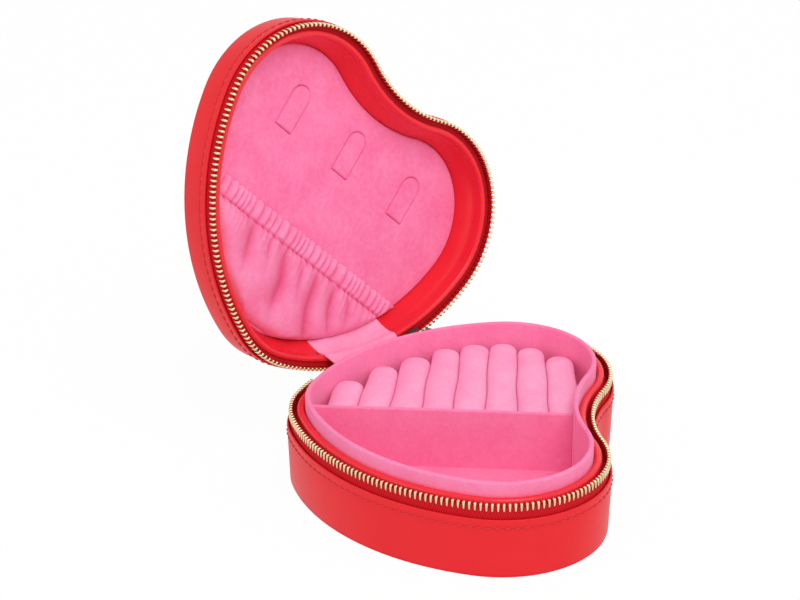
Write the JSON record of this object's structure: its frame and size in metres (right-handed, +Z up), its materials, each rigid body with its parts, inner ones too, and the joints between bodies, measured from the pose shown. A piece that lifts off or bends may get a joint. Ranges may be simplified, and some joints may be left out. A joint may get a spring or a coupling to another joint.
{
  "type": "heart-shaped jewellery box",
  "caption": "Heart-shaped zip-round jewellery box in red leather-look covers, with a pink velvet tray of ring rolls, a lined lid with necklace tabs and a gathered pocket.",
  "frame": {"origin": "on the underside of the base, 30 mm from the centre of the tip's arc along the heart's axis", "axes": "+X along the hinge line towards the zip slider, +Y from the front towards the hinge at the back, +Z up; the heart's tip points to the back left"},
  "size_m": [0.1721, 0.2083, 0.2015],
  "materials": {
    "red_cover": "smooth semi-gloss leather-look cloth",
    "board": "grey stiffening board, hidden",
    "pink_velvet": "short-pile velvet",
    "zip_tape": "woven twill tape",
    "zip_brass": "pale polished brass",
    "slider_bronze": "dark bronze, worn bright on its edges"
  },
  "bodies": {
    "base": {"base_bottom_cover": "red_cover", "base_bottom_board": "board", "base_wall_board": "board", "base_wall_cover": "red_cover", "base_inner_frame": "red_cover", "tray_wall": "pink_velvet", "tray_floor": "pink_velvet", "tray_divider": "pink_velvet", "ring_bed": "pink_velvet", "ring_roll_1": "pink_velvet", "ring_roll_2": "pink_velvet", "ring_roll_3": "pink_velvet", "ring_roll_4": "pink_velvet", "ring_roll_5": "pink_velvet", "ring_roll_6": "pink_velvet", "ring_roll_7": "pink_velvet", "ring_roll_8": "pink_velvet", "base_zip_tape": "zip_tape", "base_zip_teeth": "zip_brass", "hinge_spine": "red_cover", "hinge_lining": "pink_velvet"},
    "lid": {"lid_top_cover": "red_cover", "lid_top_board": "board", "lid_wall_board": "board", "lid_wall_cover": "red_cover", "lid_inner_band": "red_cover", "lid_panel": "pink_velvet", "pocket_casing": "pink_velvet", "pocket_cloth": "pink_velvet", "lid_zip_tape": "zip_tape", "lid_zip_teeth": "zip_brass", "zip_stop": "zip_brass"},
    "tab_1": {"necklace_tab_1": "pink_velvet"},
    "tab_2": {"necklace_tab_2": "pink_velvet"},
    "tab_3": {"necklace_tab_3": "pink_velvet"},
    "slider": {"zip_slider": "slider_bronze"},
    "pull": {"zip_pull": "slider_bronze"}
  },
  "joints": [
    {"name": "lid_hinge", "type": "hinge", "parent": "base", "child": "lid", "pos_m": [0.01084, 0.06928, 0.0359], "axis": [1, 0, 0], "range_deg": [0, 97], "deforming": ["hinge_spine", "hinge_lining"]},
    {"name": "tab_1_lift", "type": "hinge", "parent": "lid", "child": "tab_1", "pos_m": [-0.01574, 0.09847, 0.14888], "axis": [0.712, -0.0856, -0.6969], "range_deg": [0, 30], "stiffness_Nm_per_rad": 0.002},
    {"name": "tab_2_lift", "type": "hinge", "parent": "lid", "child": "tab_2", "pos_m": [0.01459, 0.09482, 0.1192], "axis": [0.712, -0.0856, -0.6969], "range_deg": [0, 30], "stiffness_Nm_per_rad": 0.002},
    {"name": "tab_3_lift", "type": "hinge", "parent": "lid", "child": "tab_3", "pos_m": [0.04521, 0.09114, 0.08923], "axis": [0.712, -0.0856, -0.6969], "range_deg": [0, 30], "stiffness_Nm_per_rad": 0.002},
    {"name": "slider_run", "type": "slide", "parent": "lid", "child": "slider", "axis": [0.9708, 0.0292, 0.2381], "range_m": [0, 0.005]},
    {"name": "pull_swing", "type": "hinge", "parent": "slider", "child": "pull", "pos_m": [0.03919, 0.06901, 0.03205], "axis": [0, 0.9925, -0.1219], "range_deg": [0, 30]}
  ]
}
